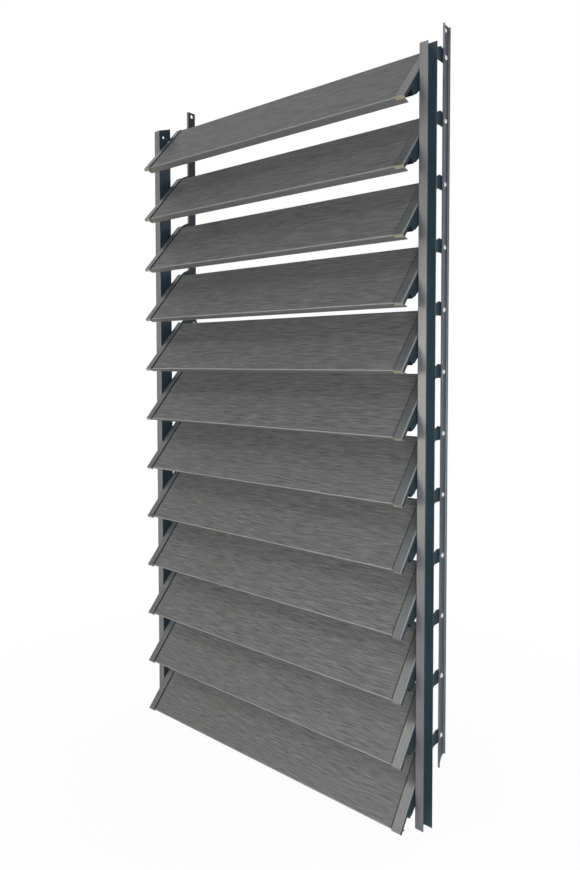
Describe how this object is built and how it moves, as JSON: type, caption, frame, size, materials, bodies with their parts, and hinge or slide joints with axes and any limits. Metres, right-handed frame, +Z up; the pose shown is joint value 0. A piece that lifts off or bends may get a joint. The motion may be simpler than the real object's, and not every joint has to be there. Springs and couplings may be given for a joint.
{
  "type": "louvre screen",
  "caption": "Tall louvre screen of wood-grain sheet blades that tilt together between two channel stiles, driven through lever brackets by a control bar on each side.",
  "frame": {"origin": "level of the stiles' lowest corners, midway between the two stiles, on the plane of the blade pivots", "axes": "+X along the blades to the right seen from the front, +Y from front to back, +Z up along the stiles"},
  "size_m": [0.9264, 0.2154, 1.9035],
  "materials": {
    "blade_sheet": "matt grey, wood-grain embossed",
    "bracket_sheet": "satin grey",
    "stile_metal": "satin grey",
    "bar_metal": "satin blue-grey",
    "rivet_metal": "satin",
    "bush_nylon": "matt black"
  },
  "bodies": {
    "frame": {"left_stile": "stile_metal", "right_stile": "stile_metal", "left_bushes": "bush_nylon", "right_bushes": "bush_nylon", "left_pivot_rivets": "rivet_metal", "right_pivot_rivets": "rivet_metal"},
    "blade_body_01": {"blade_01": "blade_sheet", "left_bracket_01": "bracket_sheet", "right_bracket_01": "bracket_sheet", "blade_rivets_01": "rivet_metal"},
    "blade_body_02": {"blade_02": "blade_sheet", "left_bracket_02": "bracket_sheet", "right_bracket_02": "bracket_sheet", "blade_rivets_02": "rivet_metal"},
    "blade_body_03": {"blade_03": "blade_sheet", "left_bracket_03": "bracket_sheet", "right_bracket_03": "bracket_sheet", "blade_rivets_03": "rivet_metal"},
    "blade_body_04": {"blade_04": "blade_sheet", "left_bracket_04": "bracket_sheet", "right_bracket_04": "bracket_sheet", "blade_rivets_04": "rivet_metal"},
    "blade_body_05": {"blade_05": "blade_sheet", "left_bracket_05": "bracket_sheet", "right_bracket_05": "bracket_sheet", "blade_rivets_05": "rivet_metal"},
    "blade_body_06": {"blade_06": "blade_sheet", "left_bracket_06": "bracket_sheet", "right_bracket_06": "bracket_sheet", "blade_rivets_06": "rivet_metal"},
    "blade_body_07": {"blade_07": "blade_sheet", "left_bracket_07": "bracket_sheet", "right_bracket_07": "bracket_sheet", "blade_rivets_07": "rivet_metal"},
    "blade_body_08": {"blade_08": "blade_sheet", "left_bracket_08": "bracket_sheet", "right_bracket_08": "bracket_sheet", "blade_rivets_08": "rivet_metal"},
    "blade_body_09": {"blade_09": "blade_sheet", "left_bracket_09": "bracket_sheet", "right_bracket_09": "bracket_sheet", "blade_rivets_09": "rivet_metal"},
    "blade_body_10": {"blade_10": "blade_sheet", "left_bracket_10": "bracket_sheet", "right_bracket_10": "bracket_sheet", "blade_rivets_10": "rivet_metal"},
    "blade_body_11": {"blade_11": "blade_sheet", "left_bracket_11": "bracket_sheet", "right_bracket_11": "bracket_sheet", "blade_rivets_11": "rivet_metal"},
    "blade_body_12": {"blade_12": "blade_sheet", "left_bracket_12": "bracket_sheet", "right_bracket_12": "bracket_sheet", "blade_rivets_12": "rivet_metal"},
    "left_bar_body": {"left_control_bar": "bar_metal", "left_link_rivets": "rivet_metal"},
    "right_bar_body": {"right_control_bar": "bar_metal", "right_link_rivets": "rivet_metal"}
  },
  "joints": [
    {"name": "blade_06_tilt", "type": "hinge", "parent": "frame", "child": "blade_body_06", "pos_m": [0, 0, 0.993], "axis": [1, 0, 0], "range_deg": [-48, 27]},
    {"name": "blade_01_tilt", "type": "hinge", "parent": "frame", "child": "blade_body_01", "pos_m": [0, 0, 1.743], "axis": [1, 0, 0], "range_deg": [-48, 27]},
    {"name": "blade_02_tilt", "type": "hinge", "parent": "frame", "child": "blade_body_02", "pos_m": [0, 0, 1.593], "axis": [1, 0, 0], "range_deg": [-48, 27]},
    {"name": "blade_03_tilt", "type": "hinge", "parent": "frame", "child": "blade_body_03", "pos_m": [0, 0, 1.443], "axis": [1, 0, 0], "range_deg": [-48, 27]},
    {"name": "blade_04_tilt", "type": "hinge", "parent": "frame", "child": "blade_body_04", "pos_m": [0, 0, 1.293], "axis": [1, 0, 0], "range_deg": [-48, 27]},
    {"name": "blade_05_tilt", "type": "hinge", "parent": "frame", "child": "blade_body_05", "pos_m": [0, 0, 1.143], "axis": [1, 0, 0], "range_deg": [-48, 27]},
    {"name": "blade_07_tilt", "type": "hinge", "parent": "frame", "child": "blade_body_07", "pos_m": [0, 0, 0.843], "axis": [1, 0, 0], "range_deg": [-48, 27]},
    {"name": "blade_08_tilt", "type": "hinge", "parent": "frame", "child": "blade_body_08", "pos_m": [0, 0, 0.693], "axis": [1, 0, 0], "range_deg": [-48, 27]},
    {"name": "blade_09_tilt", "type": "hinge", "parent": "frame", "child": "blade_body_09", "pos_m": [0, 0, 0.543], "axis": [1, 0, 0], "range_deg": [-48, 27]},
    {"name": "blade_10_tilt", "type": "hinge", "parent": "frame", "child": "blade_body_10", "pos_m": [0, 0, 0.393], "axis": [1, 0, 0], "range_deg": [-48, 27]},
    {"name": "blade_11_tilt", "type": "hinge", "parent": "frame", "child": "blade_body_11", "pos_m": [0, 0, 0.243], "axis": [1, 0, 0], "range_deg": [-48, 27]},
    {"name": "blade_12_tilt", "type": "hinge", "parent": "frame", "child": "blade_body_12", "pos_m": [0, 0, 0.093], "axis": [1, 0, 0], "range_deg": [-48, 27]},
    {"name": "left_bar_link", "type": "hinge", "parent": "blade_body_06", "child": "left_bar_body", "pos_m": [-0.4402, 0.11177, 1.07846], "axis": [1, 0, 0], "range_deg": [-27, 48]},
    {"name": "right_bar_link", "type": "hinge", "parent": "blade_body_06", "child": "right_bar_body", "pos_m": [0.4402, 0.11177, 1.07846], "axis": [1, 0, 0], "range_deg": [-27, 48]}
  ],
  "couplings": [
    {"joint": "blade_01_tilt", "follows": "blade_06_tilt", "ratio": 1},
    {"joint": "blade_02_tilt", "follows": "blade_06_tilt", "ratio": 1},
    {"joint": "blade_03_tilt", "follows": "blade_06_tilt", "ratio": 1},
    {"joint": "blade_04_tilt", "follows": "blade_06_tilt", "ratio": 1},
    {"joint": "blade_05_tilt", "follows": "blade_06_tilt", "ratio": 1},
    {"joint": "blade_07_tilt", "follows": "blade_06_tilt", "ratio": 1},
    {"joint": "blade_08_tilt", "follows": "blade_06_tilt", "ratio": 1},
    {"joint": "blade_09_tilt", "follows": "blade_06_tilt", "ratio": 1},
    {"joint": "blade_10_tilt", "follows": "blade_06_tilt", "ratio": 1},
    {"joint": "blade_11_tilt", "follows": "blade_06_tilt", "ratio": 1},
    {"joint": "blade_12_tilt", "follows": "blade_06_tilt", "ratio": 1},
    {"joint": "left_bar_link", "follows": "blade_06_tilt", "ratio": -1},
    {"joint": "right_bar_link", "follows": "blade_06_tilt", "ratio": -1}
  ]
}
